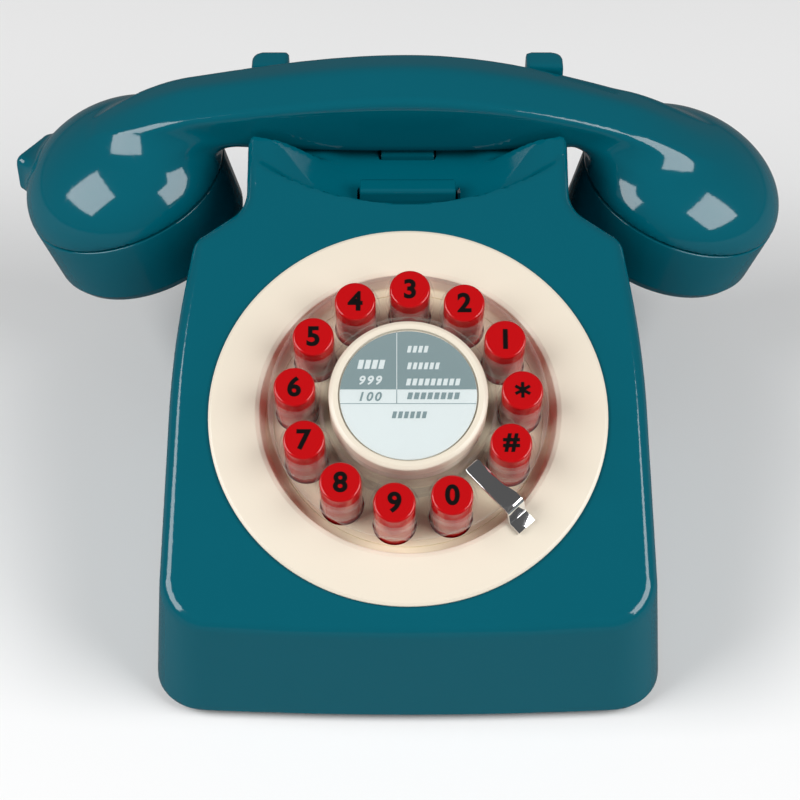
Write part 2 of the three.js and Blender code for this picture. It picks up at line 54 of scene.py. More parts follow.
BAR_FRONT = 65.4
plunger_low, plunger_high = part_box("hook_plunger")
MAKER_ORIGIN = Vector(((plunger_low.x + plunger_high.x) / 2, plunger_low.y - BAR_FRONT * MM, 0))
TO_FRAME = Matrix.Translation(MAKER_ORIGIN) @ Matrix.Scale(MM, 4)

WALL = 2.5
SLOPE = math.radians(24)
FACE_TILT = math.tan(SLOPE)
DIAL_HEIGHT = 65.6
FACE_BELOW_RING = 0.96
CASE_BOTTOM = 2.4
FACE_EDGE_RADIUS = 4
REAR_EDGE = 115.5
PRONG_TOP = 106
PRONG_INNER = 36.4
NECK_HALF = 47.7
RECESS_CENTRE_Y = 147.5
RECESS_RADIUS = 86.2
RECESS_HALF = 45.5
CRADLE_FRONT = 82.2
CRADLE_REAR = 107.8
CRADLE_BED = 90.2
TROUGH_FLOOR = 88

RING_RADIUS = 56.5
WHEEL_RADIUS = 39.3
KEY_CIRCLE = 31.6
KEY_RADIUS = 5.75
KEY_TOP = 14.5
KEY_COUNT = 12
STAR_SIZE = 4.6
STAR_BAR = 0.85
HASH_SIZE = 5.4
DIGIT_SIZE = 6.0
MARK_WEIGHT = 0.26
KEY_MARKS = {"hash": "#", "star": "*", "1": "1", "2": "2", "3": "3", "4": "4", "5": "5",
             "6": "6", "7": "7", "8": "8", "9": "9", "0": "0"}
FIRST_KEY_ANGLE = math.radians(-26.9)
KEY_PITCH = math.radians(29)
FINGER_STOP_ANGLE = math.radians(-47.3)
STUD_CIRCLE = 25.6
STUD_ANGLES = [math.radians(43.7), math.radians(133.7), math.radians(246.7)]
WELL_FLOOR = -5.2

HANDLE_Y = 95
HANDLE_HALF = 12.5
HANDLE_TOP = 114.6
HANDLE_BOTTOM = 90
CUP_RADIUS = 32.2
CUP_TILT = math.radians(17.2)
MOUTH_CUP = {"x": -87.7, "z": 71.7, "side": -1, "dome": 22.5, "depth": 23}
EAR_CUP = {"x": 85.4, "z": 70.2, "side": 1, "dome": 19, "depth": 20.6}
BOSS_PLACE = (-107.7, 100.3, 69.5)
BOSS_TURN = math.radians(145)

TO_DIAL = Matrix.Translation((0, 0, DIAL_HEIGHT)) @ Matrix.Rotation(SLOPE, 4, "X")


# ---------- materials ----------
def shader_group(name, inputs, outputs):
    """An empty shader group with its named sockets, and its two end nodes."""
    group = bpy.data.node_groups.new(name, "ShaderNodeTree")
    for label, kind, value in inputs:
        socket = group.interface.new_socket(label, in_out="INPUT", socket_type=kind)
        socket.default_value = value
    for label, kind in outputs:
        group.interface.new_socket(label, in_out="OUTPUT", socket_type=kind)
    return group, group.nodes.new("NodeGroupInput"), group.nodes.new("NodeGroupOutput")


def maths(tree, operation, *values):
    """A Math node whose inputs are sockets or plain numbers."""
    node = tree.nodes.new("ShaderNodeMath")
    node.operation = operation
    for socket, value in zip(node.inputs, values):
        if isinstance(value, bpy.types.NodeSocket):
            tree.links.new(value, socket)
        else:
            socket.default_value = value
    return node.outputs[0]


def moulded_finish_group():
    """Slow colour drift, faint flow ripple and uneven gloss of a moulded or plated surface."""
    group, given, result = shader_group(
        "moulded_finish",
        [("Colour", "NodeSocketColor", (0.5, 0.5, 0.5, 1)), ("Colour Drift", "NodeSocketFloat", 0.05),
         ("Roughness", "NodeSocketFloat", 0.2), ("Roughness Drift", "NodeSocketFloat", 0.05),
         ("Grain Scale", "NodeSocketFloat", 900.0), ("Grain Depth", "NodeSocketFloat", 0.1)],
        [("Colour", "NodeSocketColor"), ("Roughness", "NodeSocketFloat"), ("Height", "NodeSocketFloat")])
    place = group.nodes.new("ShaderNodeTexCoord").outputs["Object"]
    drift = group.nodes.new("ShaderNodeTexNoise")
    drift.inputs["Scale"].default_value = 28
    drift.inputs["Detail"].default_value = 3
    grain = group.nodes.new("ShaderNodeTexNoise")
    grain.inputs["Detail"].default_value = 4
    group.links.new(place, drift.inputs["Vector"])
    group.links.new(place, grain.inputs["Vector"])
    group.links.new(given.outputs["Grain Scale"], grain.inputs["Scale"])
    centred = maths(group, "SUBTRACT", drift.outputs["Fac"], 0.5)
    gain = maths(group, "ADD", 1.0, maths(group, "MULTIPLY", centred, given.outputs["Colour Drift"]))
    tint = group.nodes.new("ShaderNodeVectorMath")
    tint.operation = "SCALE"
    group.links.new(given.outputs["Colour"], tint.inputs["Vector"])
    group.links.new(gain, tint.inputs["Scale"])
    group.links.new(tint.outputs["Vector"], result.inputs["Colour"])
    uneven = maths(group, "SUBTRACT", grain.outputs["Fac"], 0.5)
    spread = maths(group, "MULTIPLY", maths(group, "ADD", uneven, centred), given.outputs["Roughness Drift"])
    group.links.new(maths(group, "ADD", given.outputs["Roughness"], spread), result.inputs["Roughness"])
    group.links.new(maths(group, "MULTIPLY", grain.outputs["Fac"], given.outputs["Grain Depth"]),
                    result.inputs["Height"])
    return group


def scuffs_group():
    """A thin scatter of short fine scratches, as a mask from 0 to 1."""
    group, given, result = shader_group(
        "fine_scuffs",
        [("Scale", "NodeSocketFloat", 90.0), ("Amount", "NodeSocketFloat", 0.3)],
        [("Mask", "NodeSocketFloat")])
    place = group.nodes.new("ShaderNodeTexCoord").outputs["Object"]
    bend = group.nodes.new("ShaderNodeTexNoise")
    bend.inputs["Scale"].default_value = 35
    group.links.new(place, bend.inputs["Vector"])
    streak = group.nodes.new("ShaderNodeTexVoronoi")
    streak.feature = "DISTANCE_TO_EDGE"
    moved = group.nodes.new("ShaderNodeVectorMath")
    moved.operation = "ADD"
    weak = group.nodes.new("ShaderNodeVectorMath")
    weak.operation = "SCALE"
    weak.inputs["Scale"].default_value = 0.01
    group.links.new(bend.outputs["Color"], weak.inputs[0])
    group.links.new(place, moved.inputs[0])
    group.links.new(weak.outputs["Vector"], moved.inputs[1])
    group.links.new(moved.outputs["Vector"], streak.inputs["Vector"])
    group.links.new(given.outputs["Scale"], streak.inputs["Scale"])
    line = maths(group, "LESS_THAN", streak.outputs["Distance"], 0.012)
    patch = maths(group, "GREATER_THAN", bend.outputs["Fac"], 0.62)
    group.links.new(maths(group, "MULTIPLY", maths(group, "MULTIPLY", line, patch), given.outputs["Amount"]),
                    result.inputs["Mask"])
    return group


MOULDED_FINISH = moulded_finish_group()
FINE_SCUFFS = scuffs_group()


def finish(name, colour, roughness, drift=0.05, gloss_drift=0.04, grain=900, depth=0.05,
           bump=0.00002, scuffs=0.0, **shader_values):
    """A material: moulded finish and scuffs feeding one Principled shader."""
    surface = bpy.data.materials.new(name)
    surface.use_nodes = True
    tree = surface.node_tree
    shader = tree.nodes["Principled BSDF"]
    skin = tree.nodes.new("ShaderNodeGroup")
    skin.node_tree = MOULDED_FINISH
    skin.inputs["Colour"].default_value = (*colour, 1)
    skin.inputs["Colour Drift"].default_value = drift
    skin.inputs["Roughness"].default_value = roughness
    skin.inputs["Roughness Drift"].default_value = gloss_drift
    skin.inputs["Grain Scale"].default_value = grain
    skin.inputs["Grain Depth"].default_value = depth
    tree.links.new(skin.outputs["Colour"], shader.inputs["Base Color"])
    rough = skin.outputs["Roughness"]
    if scuffs:
        marks = tree.nodes.new("ShaderNodeGroup")
        marks.node_tree = FINE_SCUFFS
        marks.inputs["Amount"].default_value = scuffs
        rough = maths(tree, "ADD", rough, marks.outputs["Mask"])
    tree.links.new(rough, shader.inputs["Roughness"])
    relief = tree.nodes.new("ShaderNodeBump")
    relief.inputs["Distance"].default_value = bump
    relief.inputs["Strength"].default_value = 1
    tree.links.new(skin.outputs["Height"], relief.inputs["Height"])
    tree.links.new(relief.outputs["Normal"], shader.inputs["Normal"])
    for label, value in shader_values.items():
        shader.inputs[label.replace("_", " ")].default_value = value
    return surface


TEAL = finish("teal_gloss", (0.0, 0.104, 0.145), 0.08, drift=0.06, gloss_drift=0.03, grain=160,
              depth=0.6, bump=0.00005, scuffs=0.06)
CREAM = finish("cream_dial", (0.83, 0.75, 0.62), 0.3, drift=0.03, grain=1400, depth=0.25)
WELL = finish("khaki_well", (0.86, 0.78, 0.58), 0.35, drift=0.05, grain=1200, depth=0.25)
KEY_RED = finish("key_red", (0.50, 0.002, 0.004), 0.15, drift=0.05, grain=1500, depth=0.2)
INK = finish("printed_black", (0.006, 0.005, 0.005), 0.3, grain=2500, Specular_IOR_Level=0.15)
CHROME = finish("finger_stop_chrome", (0.86, 0.86, 0.87), 0.08, gloss_drift=0.04, grain=700,
                depth=0.4, scuffs=0.12, Metallic=1.0)
STEEL = finish("zinc_steel", (0.60, 0.61, 0.62), 0.33, drift=0.15, grain=1800, depth=0.5, Metallic=1.0)
DARK = finish("dark_moulding", (0.012, 0.014, 0.015), 0.5, grain=2600, depth=1.0, bump=0.00004)
RUBBER = finish("foot_rubber", (0.013, 0.013, 0.014), 0.8, drift=0.2, grain=3000, depth=1.0, bump=0.00005)
BOARD = finish("board_green", (0.014, 0.11, 0.04), 0.42, drift=0.25, grain=700)
CAN = finish("capsule_can", (0.66, 0.67, 0.68), 0.28, drift=0.1, Metallic=1.0)
IRON = finish("cast_iron", (0.06, 0.062, 0.065), 0.65, drift=0.4, grain=1500, depth=1.5, bump=0.0001,
              Metallic=0.8)
COPPER = finish("varnished_copper", (0.55, 0.22, 0.08), 0.3, drift=0.2, grain=2600, depth=1.5,
                bump=0.00008, Metallic=0.9)
BRASS = finish("gong_brass", (0.72, 0.48, 0.16), 0.2, drift=0.12, Metallic=1.0)
PAPER_TEAL = finish("label_teal", (0.085, 0.165, 0.175), 0.55, grain=3500, depth=0.3)
PAPER_WHITE = finish("label_white", (0.58, 0.64, 0.64), 0.55, grain=3500, depth=0.3)


def clear_plastic(name, tint, roughness, at_front, at_rim):
    """Clear moulding: see-through where it is looked at squarely and brighter along its rims, where a more
    opaque pale tint is a painted reflection in place of the glancing reflections of clear plastic.
    """
    surface = finish(name, tint, roughness, drift=0.02, gloss_drift=0.02, grain=300, depth=0.2,
                     IOR=1.49, Coat_Weight=0.5, Coat_Roughness=0.02)
    tree = surface.node_tree
    # More cover towards the rims is painted reflection: the pale tint shows where clear plastic would reflect
    # at a glancing angle.
    facing = tree.nodes.new("ShaderNodeLayerWeight")
    facing.inputs["Blend"].default_value = 0.35
    cover = maths(tree, "ADD", at_front, maths(tree, "MULTIPLY", facing.outputs["Facing"], at_rim - at_front))
    rays = tree.nodes.new("ShaderNodeLightPath")
    cover = maths(tree, "MULTIPLY", cover, maths(tree, "SUBTRACT", 1.0, rays.outputs["Is Shadow Ray"]))
    tree.links.new(cover, tree.nodes["Principled BSDF"].inputs["Alpha"])
    return surface


CLEAR = clear_plastic("clear_plate", (0.82, 0.80, 0.74), 0.05, 0.02, 0.32)
LENS = clear_plastic("label_lens", (0.95, 0.97, 0.98), 0.04, 0.05, 0.4)


# ---------- meshes from formulas ----------
def edge_max(a, b, radius, lean=0.0):
    """Overlap of two half-spaces, its edge rounded. lean is the dot product of their normals."""
    u = a + radius
    v = b + radius
    corner = np.sqrt(np.maximum(u * u + v * v - 2 * lean * u * v, 0) / (1 - lean * lean))
    wedge = (u > lean * v) & (v > lean * u)
    return np.where(wedge, corner, np.maximum(u, v)) - radius


def fillet_min(a, b, radius, lean=0.0):
    """Union of two solids with a fillet between them."""
    return -edge_max(-a, -b, radius, lean)


def surface_net(field, low, high, step):
    """Corner points and quads of the surface where a formula changes sign."""
    axes = [np.arange(a, b + step, step) for a, b in zip(low, high)]
    values = field(*np.meshgrid(*axes, indexing="ij", sparse=True))
    cells = tuple(n - 1 for n in values.shape)
    total = np.zeros(cells + (3,))
    count = np.zeros(cells)
    crossings = []
    for axis in range(3):
        first, second = [d for d in range(3) if d != axis]
        near = values[tuple(slice(0, -1) if d == axis else slice(None) for d in range(3))]
        far = values[tuple(slice(1, None) if d == axis else slice(None) for d in range(3))]
        crossing = (near < 0) != (far < 0)
        along = np.where(crossing, near / np.where(crossing, near - far, 1), 0)
        crossings.append((crossing, near < 0))
        for i in (0, 1):
            for j in (0, 1):
                pick = [slice(None)] * 3
                pick[first] = slice(i, i + cells[first])
                pick[second] = slice(j, j + cells[second])
                hit = crossing[tuple(pick)]
                total[..., axis] += along[tuple(pick)]
                total[..., first] += i * hit
                total[..., second] += j * hit
                count += hit
    active = count > 0
    number = np.full(cells, -1)
    number[active] = np.arange(active.sum())
    points = np.array(low) + step * (np.argwhere(active) + total[active] / count[active][:, None])
    quads = []
    for axis, (crossing, inside) in enumerate(crossings):
        first, second = [d for d in range(3) if d != axis]
        edges = np.argwhere(crossing)
        flags = inside[crossing]
        limits = (edges[:, first] > 0) & (edges[:, second] > 0)
        limits &= (edges[:, first] < values.shape[first] - 1) & (edges[:, second] < values.shape[second] - 1)
        edges = edges[limits]
        flags = flags[limits]
        ring = []
        for i, j in ((-1, -1), (0, -1), (0, 0), (-1, 0)):
            cell = edges.copy()
            cell[:, first] += i
            cell[:, second] += j
            ring.append(number[tuple(cell.T)])
        quad = np.stack(ring, 1)
        forward = flags if axis != 1 else ~flags
        quad[~forward] = quad[~forward][:, ::-1]
        quads.append(quad)
    return points, np.concatenate(quads)


def slope_of(field, points, reach=0.02):
    """Gradient of a formula at each point."""
    parts = []
    for axis in range(3):
        nudge = np.zeros(3)
        nudge[axis] = reach
        parts.append((field(*(points + nudge).T) - field(*(points - nudge).T)) / (2 * reach))
    return np.stack(parts, 1)


def formula_mesh(name, field, low, high, step):
    """A closed mesh of the solid where the formula is negative, its points settled on the surface."""
    points, quads = surface_net(field, low, high, step)
    for _ in range(5):
        slope = slope_of(field, points)
        size = np.maximum((slope * slope).sum(1), 0.1)
        move = slope * (-field(*points.T) / size)[:, None]
        length = np.linalg.norm(move, axis=1, keepdims=True)
        points = points + move * np.minimum(1, 0.4 * step / np.maximum(length, 1e-9))
    mesh = bpy.data.meshes.new(name)
    mesh.from_pydata(points.tolist(), [], quads.tolist())
    mesh.update()
    return mesh


def eased(corners, steps=5):
    """Profile points from (radius, height, rounding) corners, with arcs at the rounded ones."""
    points = []
    for index, (x, y, radius) in enumerate(corners):
        here = Vector((x, y))
        if radius <= 0 or index in (0, len(corners) - 1):
            points.append(here)
            continue
        back = (Vector(corners[index - 1][:2]) - here).normalized()
        ahead = (Vector(corners[index + 1][:2]) - here).normalized()
        half = back.angle(ahead) / 2
        centre = here + (back + ahead).normalized() * (radius / math.sin(half))
        start = here + back * (radius / math.tan(half)) - centre
        end = here + ahead * (radius / math.tan(half)) - centre
        swing = start.angle(end)
        side = 1 if start.x * end.y - start.y * end.x > 0 else -1
        for step in range(steps + 1):
            angle = side * swing * step / steps
            cos, sin = math.cos(angle), math.sin(angle)
            points.append(centre + Vector((start.x * cos - start.y * sin, start.x * sin + start.y * cos)))
    return points


def turned(name, corners, segments=96, closed=False):
    """A profile of (radius, height, rounding) corners, turned about Z."""
    points = eased(corners)
    shell = bmesh.new()
    rings = []
    for radius, height in points:
        if radius < 1e-6:
            rings.append([shell.verts.new((0, 0, height))])
            continue
        rings.append([shell.verts.new((radius * math.cos(2 * math.pi * k / segments),
                                       radius * math.sin(2 * math.pi * k / segments), height))
                      for k in range(segments)])
    pairs = list(zip(rings, rings[1:]))
    if closed:
        pairs.append((rings[-1], rings[0]))
    for lower, upper in pairs:
        for k in range(segments):
            after = (k + 1) % segments
            corners_here = [lower[k % len(lower)], lower[after % len(lower)],
                            upper[after % len(upper)], upper[k % len(upper)]]
            unique = list(dict.fromkeys(corners_here))
            if len(unique) > 2:
                shell.faces.new(unique)
    bmesh.ops.remove_doubles(shell, verts=shell.verts, dist=1e-5)
    bmesh.ops.recalc_face_normals(shell, faces=shell.faces)
    mesh = bpy.data.meshes.new(name)
    shell.to_mesh(mesh)
    shell.free()
    return mesh


def prism(name, outline, low, high):
    """A flat outline of (x, y) points given thickness along Z."""
    block = bmesh.new()
    base = [block.verts.new((x, y, low)) for x, y in outline]
    face = block.faces.new(base)
    lifted = bmesh.ops.extrude_face_region(block, geom=[face])["geom"]
    bmesh.ops.translate(block, verts=[v for v in lifted if isinstance(v, bmesh.types.BMVert)],
                        vec=(0, 0, high - low))
    bmesh.ops.recalc_face_normals(block, faces=block.faces)
    mesh = bpy.data.meshes.new(name)
    block.to_mesh(mesh)
    block.free()
    return mesh


def merged(name, *meshes):
    """Several meshes put together in one."""
    whole = bmesh.new()
    for mesh in meshes:
        whole.from_mesh(mesh)
    result = bpy.data.meshes.new(name)
    whole.to_mesh(result)
    whole.free()
    return result


def add_piece(name, mesh, body, slot, surface, *stands_for, smooth=35):
    """Moves a mesh from the maker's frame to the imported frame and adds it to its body."""
    mesh.transform(TO_FRAME)
    mesh.materials.clear()
    mesh.materials.append(surface)
    mesh.polygons.foreach_set("use_smooth", [True] * len(mesh.polygons))
    mesh.polygons.foreach_set("material_index", [0] * len(mesh.polygons))
    mesh.set_sharp_from_angle(angle=math.radians(smooth))
    piece = bpy.data.objects.new(name, mesh)
    bpy.context.scene.collection.objects.link(piece)
    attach(piece, body)
    if stands_for:
        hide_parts(*stands_for)
    return piece


# ---------- geometry node trees ----------
def geometry_tree(name, inputs):
    """A geometry tree with named inputs, its end nodes and a helper that adds and wires nodes."""
    tree = bpy.data.node_groups.new(name, "GeometryNodeTree")
    tree.interface.new_socket("Geometry", in_out="INPUT", socket_type="NodeSocketGeometry")
    for label, kind in inputs:
        tree.interface.new_socket(label, in_out="INPUT", socket_type=kind)
    tree.interface.new_socket("Geometry", in_out="OUTPUT", socket_type="NodeSocketGeometry")
    given = tree.nodes.new("NodeGroupInput")
    result = tree.nodes.new("NodeGroupOutput")

    def add(kind, settings=None, **wires):
        node = tree.nodes.new(kind)
        for key, value in (settings or {}).items():
            setattr(node, key, value)
        for label, value in wires.items():
            key = label.replace("_", " ")
            socket = node.inputs[int(key[1:])] if key[0] == "i" and key[1:].isdigit() else node.inputs[key]
            if isinstance(value, bpy.types.NodeSocket):
                tree.links.new(value, socket)
            else:
                socket.default_value = value
        return node

    return tree, given, result, add


def ring_points(add, count, radius, first, pitch):
    """Points spaced along a circle, for use inside a tree."""
    number = add("GeometryNodeInputIndex").outputs[0]
    step = add("ShaderNodeMath", {"operation": "MULTIPLY"}, i0=number, i1=pitch)
    angle = add("ShaderNodeMath", {"operation": "ADD"}, i0=step.outputs[0], i1=first)
    cosine = add("ShaderNodeMath", {"operation": "COSINE"}, i0=angle.outputs[0])
    sine = add("ShaderNodeMath", {"operation": "SINE"}, i0=angle.outputs[0])
    east = add("ShaderNodeMath", {"operation": "MULTIPLY"}, i0=cosine.outputs[0], i1=radius)
    north = add("ShaderNodeMath", {"operation": "MULTIPLY"}, i0=sine.outputs[0], i1=radius)
    place = add("ShaderNodeCombineXYZ", X=east.outputs[0], Y=north.outputs[0])
    return add("GeometryNodePoints", Count=count, Position=place.outputs[0]).outputs[0]


def ring_tool_tree(name, operation):
    """Cuts (DIFFERENCE) or joins (UNION) a ring of copies of a tool on the given solid."""
    tree, given, result, add = geometry_tree(name, [
        ("Tool", "NodeSocketObject"), ("Count", "NodeSocketInt"), ("Circle Radius", "NodeSocketFloat"),
        ("First Angle", "NodeSocketFloat"), ("Pitch", "NodeSocketFloat"), ("Material", "NodeSocketMaterial")])
    points = ring_points(add, given.outputs["Count"], given.outputs["Circle Radius"],
                         given.outputs["First Angle"], given.outputs["Pitch"])
    tool = add("GeometryNodeObjectInfo", Object=given.outputs["Tool"])
    copies = add("GeometryNodeInstanceOnPoints", Points=points, Instance=tool.outputs["Geometry"])
    real = add("GeometryNodeRealizeInstances", Geometry=copies.outputs[0])
    boolean = add("GeometryNodeMeshBoolean", {"operation": operation, "solver": "EXACT"})
    body_socket = "Mesh 1" if operation == "DIFFERENCE" else "Mesh 2"
    tree.links.new(given.outputs["Geometry"], boolean.inputs[body_socket])
    tree.links.new(real.outputs[0], boolean.inputs["Mesh 2"])
    coloured = add("GeometryNodeSetMaterial", Geometry=boolean.outputs["Mesh"],
                   Material=given.outputs["Material"])
    tree.links.new(coloured.outputs[0], result.inputs["Geometry"])
    return tree


def seat_tree():
    """Puts a copy of a piece on every seat point."""
    tree, given, result, add = geometry_tree("piece_on_each_seat", [
        ("Piece", "NodeSocketObject"), ("Turn Seed", "NodeSocketInt"), ("Material", "NodeSocketMaterial")])
    piece = add("GeometryNodeObjectInfo", Object=given.outputs["Piece"])
    turn = add("FunctionNodeRandomValue", {"data_type": "FLOAT"}, Seed=given.outputs["Turn Seed"])
    turn.inputs[3].default_value = 3.14
    spin = add("ShaderNodeCombineXYZ", Z=turn.outputs[1])
    copies = add("GeometryNodeInstanceOnPoints", Points=given.outputs["Geometry"],
                 Instance=piece.outputs["Geometry"], Rotation=spin.outputs[0])
    real = add("GeometryNodeRealizeInstances", Geometry=copies.outputs[0])
    coloured = add("GeometryNodeSetMaterial", Geometry=real.outputs[0], Material=given.outputs["Material"])
    tree.links.new(coloured.outputs[0], result.inputs["Geometry"])
    return tree


RING_CUT = ring_tool_tree("cut_ring_of_holes", "DIFFERENCE")
RING_JOIN = ring_tool_tree("join_ring_of_collars", "UNION")
ON_SEATS = seat_tree()


def run_tree(tree, mesh, **inputs):
    """The plain mesh that a tree makes from a mesh."""
    holder = bpy.data.objects.new("workpiece", mesh)
    bpy.context.scene.collection.objects.link(holder)
    modifier = holder.modifiers.new("maker", "NODES")
    modifier.node_group = tree
    helpers = []
    for item in tree.interface.items_tree:
        key = item.name.replace(" ", "_").lower()
        if item.in_out == "INPUT" and key in inputs:
            value = inputs[key]
            if isinstance(value, bpy.types.Mesh):
                value = bpy.data.objects.new("tool", value)
                bpy.context.scene.collection.objects.link(value)
                helpers.append(value)
            modifier[item.identifier] = value
    bpy.context.view_layer.update()
    graph = bpy.context.evaluated_depsgraph_get()
    made = bpy.data.meshes.new_from_object(holder.evaluated_get(graph))
    for leftover in [holder, *helpers]:
        bpy.data.objects.remove(leftover)
    return made


def ring_cut(mesh, tool, count, radius, first, pitch, surface):
    return run_tree(RING_CUT, mesh, tool=tool, count=count, circle_radius=float(radius),
                    first_angle=float(first), pitch=float(pitch), material=surface)


def ring_join(mesh, tool, count, radius, first, pitch, surface):
    return run_tree(RING_JOIN, mesh, tool=tool, count=count, circle_radius=float(radius),
                    first_angle=float(first), pitch=float(pitch), material=surface)


def on_seats(seats, piece, seed, surface):
    points = bpy.data.meshes.new("seats")
    points.from_pydata(seats, [], [])
    return run_tree(ON_SEATS, points, piece=piece, turn_seed=seed, material=surface)


def rod(radius, low, high, segments=48):
    return turned("rod", [(0, low, 0), (radius, low, 0), (radius, high, 0), (0, high, 0)], segments)


# ---------- case ----------
def face_height(y):
    return DIAL_HEIGHT - FACE_BELOW_RING / math.cos(SLOPE) + FACE_TILT * y


def smoothstep(value, low, high):
    share = np.clip((value - low) / (high - low), 0, 1)
    return share * share * (3 - 2 * share)


def plan_distance(x, y):
    """Distance outside the case's plan outline at the level of the sloping face."""
    wide = np.abs(x)
    bend = np.clip(y - 3, 0, 37)
    side_x = 68.6 - 0.0155 * (y + 55.6) - bend * bend / 500 - 0.148 * np.maximum(y - 40, 0)
    lean = 0.0155 + bend / 250
    side = (wide - side_x) / np.sqrt(1 + lean * lean)
    front = -57.5 + wide * wide / 1800 - y
    shoulder = (y - 52.2 + 0.676 * (wide - 62.5)) / 1.207
    body = edge_max(edge_max(side, front, 13), shoulder, 6, lean=0.68)
    neck = np.maximum(edge_max(wide - NECK_HALF, y - REAR_EDGE, 3.5), -y)
    return fillet_min(body, neck, 9, lean=0.56)


def drafted(x, y, z):
    """Carries a point of the case back to the plan outline at the level of the face."""
    drop = np.maximum(face_height(y) - z, 0)
    back = np.clip((y - 85) / 30, 0, 1)
    front = np.clip((-30 - y) / 27, 0, 1)
    plan_y = y - drop * (0.07 * back - 0.045 * front)
    widening = 1 + 0.093 * smoothstep(66 - plan_y, 0, 12) * drop / 69
    return x / widening, plan_y


def case_block(x, y, z, inset, radius):
    plan_x, plan_y = drafted(x, y, z)
    plan = plan_distance(plan_x, plan_y) + inset
    face = (z - face_height(y)) * math.cos(SLOPE) + inset
    facing = (plan_distance(plan_x, plan_y + 0.05) - plan_distance(plan_x, plan_y - 0.05)) / 0.1
    return edge_max(plan, face, radius, lean=-math.sin(SLOPE) * np.clip(facing, -1, 1))


def saddle_height(x, y):
    """Floor of the recess: flat in the middle, rising to the horns on each side and to the back."""
    rise = 11.5 - FACE_TILT * np.clip(82 - y, 0, 22)
    return TROUGH_FLOOR + rise * smoothstep(np.abs(x), 16, 44)


def slab(value, low, high):
    """Distance outside a range of one coordinate."""
    return np.maximum(low - value, value - high)


def case_field(x, y, z):
    solid = case_block(x, y, z, 0, FACE_EDGE_RADIUS)
    solid = edge_max(solid, CASE_BOTTOM - z, 1.2)
    above_saddle = (saddle_height(x, y) - z) / 1.1
    arc = np.hypot(x, y - RECESS_CENTRE_Y) - RECESS_RADIUS
    sides = edge_max(arc, np.abs(x) - RECESS_HALF, 2)
    recess = edge_max(edge_max(sides, y - CRADLE_REAR, 0.5), above_saddle, 2)
    solid = edge_max(solid, -recess, 1.5)
    bed = edge_max(slab(y, CRADLE_FRONT, CRADLE_REAR), CRADLE_BED - z, 1.5)
    between = edge_max(np.maximum(np.abs(x) - PRONG_INNER, 104 - y), 92 - z, 1.5)
    solid = edge_max(solid, -np.minimum(bed, between), 1.2)
    solid = edge_max(solid, z - PRONG_TOP, 1.4)
    corner_x = np.maximum(np.abs(x) - 23, 0)
    corner_z = np.maximum(np.abs(z - 76) - 2, 0)
    hand_hold = edge_max(np.hypot(corner_x, corner_z) - 8, 100 - y, 3)
    solid = edge_max(solid, -hand_hold, 1.5)
    hollow = case_block(x, y, z, WALL, 1.5)
    room = np.minimum(np.minimum(z - 63, np.maximum(y - 97.5, z - 85.3)), y - 57)
    front_bosses = np.hypot(np.abs(x) - 60, y + 12)
    rear_bosses = np.hypot(np.abs(x) - 38, y - 86)
    bosses = np.minimum(front_bosses, rear_bosses) - 4
    cavity = np.maximum(np.maximum(hollow, room), -np.maximum(bosses, 5.3 - z))
    solid = np.maximum(solid, -cavity)
    cos, sin = math.cos(SLOPE), math.sin(SLOPE)
    dial_y = y * cos + (z - DIAL_HEIGHT) * sin
    dial_z = -y * sin + (z - DIAL_HEIGHT) * cos
    dial_hole = np.maximum(np.hypot(x, dial_y) - 46, -12 - dial_z)
    solid = np.maximum(solid, -dial_hole)
    for half, front, rear in ((14.9, 65, 71.9), (8.4, 85.6, 94.4)):
        slot = np.maximum(np.maximum(np.abs(x) - half, slab(y, front, rear)), 80 - z)
        solid = edge_max(solid, -slot, 0.4)
    sockets = np.maximum(np.maximum(slab(np.abs(x), 27, 41), slab(z, 11, 24)), 110 - y)
    knobs = np.maximum(np.maximum(slab(np.abs(x), 5, 17), slab(z, 14, 20)), 110 - y)
    return edge_max(solid, -np.minimum(sockets, knobs), 0.5)


def add_case():
    mesh = formula_mesh("case_moulding", case_field, (-80, -64, -1), (80, 127, 110), 1.2)
    add_piece("case_moulding", mesh, "base", "shell_teal", TEAL, "case")


# ---------- handset ----------
def handle_top(x):
    return HANDLE_TOP - 17 * (np.hypot(1, x / 52) - 1) - 0.0006 * x * np.abs(x)


def handle_field(x, y, z, inset, reach):
    top = handle_top(x)
    bottom = np.minimum(HANDLE_BOTTOM + 0.0006 * x * x, top - 15)
    across = y - HANDLE_Y
    crown = 0.32 * (np.hypot(across, 2.5) - 2.5)
    fall = (handle_top(x + 0.1) - handle_top(x - 0.1)) / 0.2
    roof = (z - top + crown) / np.sqrt(1.12 + fall * fall) + inset
    floor = (bottom - z) + inset
    lean = np.clip((z - bottom) / 18, 0, 1)
    side = np.abs(across) - (HANDLE_HALF - 2 + 2 * lean) + inset
    body = edge_max(roof, side, 3 if inset == 0 else 1, lean=0.3)
    body = edge_max(body, floor, 4 if inset == 0 else 3)
    return edge_max(body, np.abs(x) - reach, 28 if inset == 0 else 14)


def in_cup(cup, x, y, z):
    """Coordinates of a cup: outward, across and down from its seam."""
    side = cup["side"]
    sin, cos = math.sin(CUP_TILT), math.cos(CUP_TILT)
    dx, dz = x - cup["x"], z - cup["z"]
    down = -side * sin * dx - cos * dz
    out = -cos * dx + side * sin * dz
    return out, y - HANDLE_Y, down


def dome_field(cup, x, y, z, inset, skirt):
    out, across, down = in_cup(cup, x, y, z)
    radius, height = CUP_RADIUS - inset, cup["dome"] - inset
    above = np.minimum(down, 0)
    size = np.sqrt((out * out + across * across) / radius ** 2 + above * above / height ** 2)
    pull = np.sqrt((out * out + across * across) / radius ** 4 + above * above / height ** 4)
    ball = size * (size - 1) / np.maximum(pull, 1e-6)
    return np.maximum(ball, down - skirt)


